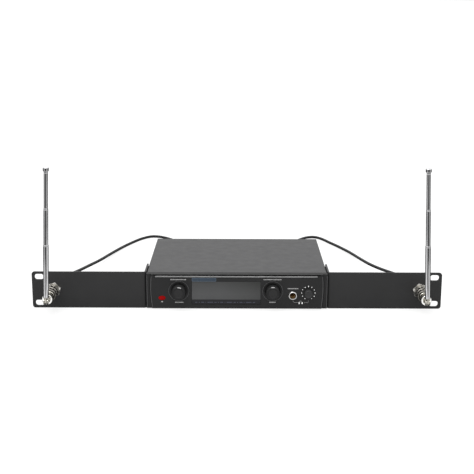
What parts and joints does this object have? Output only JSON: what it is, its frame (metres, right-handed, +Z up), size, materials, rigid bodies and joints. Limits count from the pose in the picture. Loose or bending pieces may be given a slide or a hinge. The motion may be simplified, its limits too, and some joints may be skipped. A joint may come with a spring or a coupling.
{
  "type": "wireless receiver unit",
  "caption": "Half-rack radio receiver between two slotted rack ears, with folding telescopic antennas on the ears and soft coaxial leads from the back.",
  "frame": {"origin": "middle of the receiver's underside", "axes": "+X to the right seen from the front, +Y from the front panel to the back, +Z up"},
  "size_m": [0.4826, 0.401, 0.1768],
  "materials": {
    "painted_steel": "fine satin powder coat, grey",
    "black_steel": "satin black powder coat",
    "black_plastic": "fine-textured moulded black plastic",
    "knob_plastic": "soft matt black plastic",
    "nickel": "bright nickel plating, lightly worn",
    "chrome": "polished chrome tube",
    "silver": "brushed strip",
    "blue_plate": "muted blue gloss",
    "smoked_window": "smoked clear acrylic",
    "display_face": "unlit display",
    "red_lens": "dark red translucent lens",
    "board": "circuit board with solder resist",
    "tinned_steel": "tinned steel",
    "rubber": "matt black cable jacket"
  },
  "bodies": {
    "receiver": {"chassis_base": "painted_steel", "top_cover": "painted_steel", "rear_panel": "painted_steel", "front_panel": "black_plastic", "trim_strip": "silver", "badge_plate": "blue_plate", "display_window": "smoked_window", "display_module": "display_face", "ir_lens": "red_lens", "main_board": "board", "rf_shield": "tinned_steel", "xlr_socket": "black_plastic", "line_jack": "nickel", "power_inlet": "black_plastic", "headphone_jack": "nickel", "jack_ring": "nickel", "volume_encoder": "tinned_steel", "menu_encoder": "tinned_steel", "level_control": "tinned_steel", "rack_ear_left": "black_steel", "rear_socket_left": "nickel", "bulkhead_left": "nickel", "bulkhead_nut_left": "nickel", "lead_left": "rubber", "lead_plug_rear_left": "nickel", "lead_plug_ear_left": "nickel", "rack_ear_right": "black_steel", "rear_socket_right": "nickel", "bulkhead_right": "nickel", "bulkhead_nut_right": "nickel", "lead_right": "rubber", "lead_plug_rear_right": "nickel", "lead_plug_ear_right": "nickel"},
    "volume_push": {"volume_plunger": "black_plastic"},
    "volume_dial": {"volume_shaft": "tinned_steel", "volume_knob": "knob_plastic"},
    "menu_push": {"menu_plunger": "black_plastic"},
    "menu_dial": {"menu_shaft": "tinned_steel", "menu_knob": "knob_plastic"},
    "level_dial": {"level_knob": "knob_plastic"},
    "antenna_collar_left": {"antenna_collar_left": "nickel"},
    "lead_collar_rear_left": {"lead_collar_rear_left": "nickel"},
    "lead_collar_ear_left": {"lead_collar_ear_left": "nickel"},
    "antenna_base_left": {"antenna_base_left": "nickel", "antenna_pin_left": "nickel"},
    "antenna_lower_left": {"antenna_foot_left": "nickel", "antenna_tube_a_left": "chrome"},
    "antenna_middle_left": {"antenna_tube_b_left": "chrome"},
    "antenna_upper_left": {"antenna_tube_c_left": "chrome"},
    "antenna_tip_left": {"antenna_rod_left": "chrome"},
    "antenna_collar_right": {"antenna_collar_right": "nickel"},
    "lead_collar_rear_right": {"lead_collar_rear_right": "nickel"},
    "lead_collar_ear_right": {"lead_collar_ear_right": "nickel"},
    "antenna_base_right": {"antenna_base_right": "nickel", "antenna_pin_right": "nickel"},
    "antenna_lower_right": {"antenna_foot_right": "nickel", "antenna_tube_a_right": "chrome"},
    "antenna_middle_right": {"antenna_tube_b_right": "chrome"},
    "antenna_upper_right": {"antenna_tube_c_right": "chrome"},
    "antenna_tip_right": {"antenna_rod_right": "chrome"}
  },
  "joints": [
    {"name": "volume_press", "type": "slide", "parent": "receiver", "child": "volume_push", "axis": [0, 1, 0], "range_m": [0, 0.0008], "stiffness_N_per_m": 900},
    {"name": "volume_turn", "type": "hinge", "parent": "volume_push", "child": "volume_dial", "pos_m": [-0.0681, -0.09215, 0.0224], "axis": [0, -1, 0], "range_deg": [-150, 150]},
    {"name": "menu_press", "type": "slide", "parent": "receiver", "child": "menu_push", "axis": [0, 1, 0], "range_m": [0, 0.0008], "stiffness_N_per_m": 900},
    {"name": "menu_turn", "type": "hinge", "parent": "menu_push", "child": "menu_dial", "pos_m": [0.0421, -0.09215, 0.0224], "axis": [0, -1, 0], "continuous": true},
    {"name": "level_turn", "type": "hinge", "parent": "receiver", "child": "level_dial", "pos_m": [0.0841, -0.09215, 0.0204], "axis": [0, -1, 0], "range_deg": [-150, 150]},
    {"name": "antenna_collar_turn_left", "type": "hinge", "parent": "receiver", "child": "antenna_collar_left", "pos_m": [-0.2161, -0.09585, 0.0226], "axis": [0, -1, 0], "range_deg": [0, 90]},
    {"name": "lead_collar_rear_turn_left", "type": "hinge", "parent": "receiver", "child": "lead_collar_rear_left", "pos_m": [-0.075, 0.0897, 0.022], "axis": [0, 1, 0], "range_deg": [0, 90]},
    {"name": "lead_collar_ear_turn_left", "type": "hinge", "parent": "receiver", "child": "lead_collar_ear_left", "pos_m": [-0.2161, -0.07645, 0.0226], "axis": [0, 1, 0], "range_deg": [0, 90]},
    {"name": "antenna_swivel_left", "type": "hinge", "parent": "receiver", "child": "antenna_base_left", "pos_m": [-0.2161, -0.13565, 0.0226], "axis": [0, 1, 0], "range_deg": [-90, 45]},
    {"name": "antenna_fold_left", "type": "hinge", "parent": "antenna_base_left", "child": "antenna_lower_left", "pos_m": [-0.2161, -0.13565, 0.0226], "axis": [0.9992, 0, -0.0401], "range_deg": [0, 90]},
    {"name": "antenna_middle_slide_left", "type": "slide", "parent": "antenna_lower_left", "child": "antenna_middle_left", "axis": [0.0401, 0, 0.9992], "range_m": [-0.035, 0.007]},
    {"name": "antenna_upper_slide_left", "type": "slide", "parent": "antenna_middle_left", "child": "antenna_upper_left", "axis": [0.0401, 0, 0.9992], "range_m": [-0.038, 0.006]},
    {"name": "antenna_tip_slide_left", "type": "slide", "parent": "antenna_upper_left", "child": "antenna_tip_left", "axis": [0.0401, 0, 0.9992], "range_m": [0, 0.042]},
    {"name": "antenna_collar_turn_right", "type": "hinge", "parent": "receiver", "child": "antenna_collar_right", "pos_m": [0.2161, -0.09585, 0.0226], "axis": [0, -1, 0], "range_deg": [0, 90]},
    {"name": "lead_collar_rear_turn_right", "type": "hinge", "parent": "receiver", "child": "lead_collar_rear_right", "pos_m": [0.075, 0.0897, 0.022], "axis": [0, 1, 0], "range_deg": [0, 90]},
    {"name": "lead_collar_ear_turn_right", "type": "hinge", "parent": "receiver", "child": "lead_collar_ear_right", "pos_m": [0.2161, -0.07645, 0.0226], "axis": [0, 1, 0], "range_deg": [0, 90]},
    {"name": "antenna_swivel_right", "type": "hinge", "parent": "receiver", "child": "antenna_base_right", "pos_m": [0.2161, -0.13565, 0.0226], "axis": [0, -1, 0], "range_deg": [-90, 45]},
    {"name": "antenna_fold_right", "type": "hinge", "parent": "antenna_base_right", "child": "antenna_lower_right", "pos_m": [0.2161, -0.13565, 0.0226], "axis": [0.9992, 0, 0.0401], "range_deg": [0, 90]},
    {"name": "antenna_middle_slide_right", "type": "slide", "parent": "antenna_lower_right", "child": "antenna_middle_right", "axis": [-0.0401, 0, 0.9992], "range_m": [-0.035, 0.007]},
    {"name": "antenna_upper_slide_right", "type": "slide", "parent": "antenna_middle_right", "child": "antenna_upper_right", "axis": [-0.0401, 0, 0.9992], "range_m": [-0.038, 0.006]},
    {"name": "antenna_tip_slide_right", "type": "slide", "parent": "antenna_upper_right", "child": "antenna_tip_right", "axis": [-0.0401, 0, 0.9992], "range_m": [0, 0.042]}
  ]
}
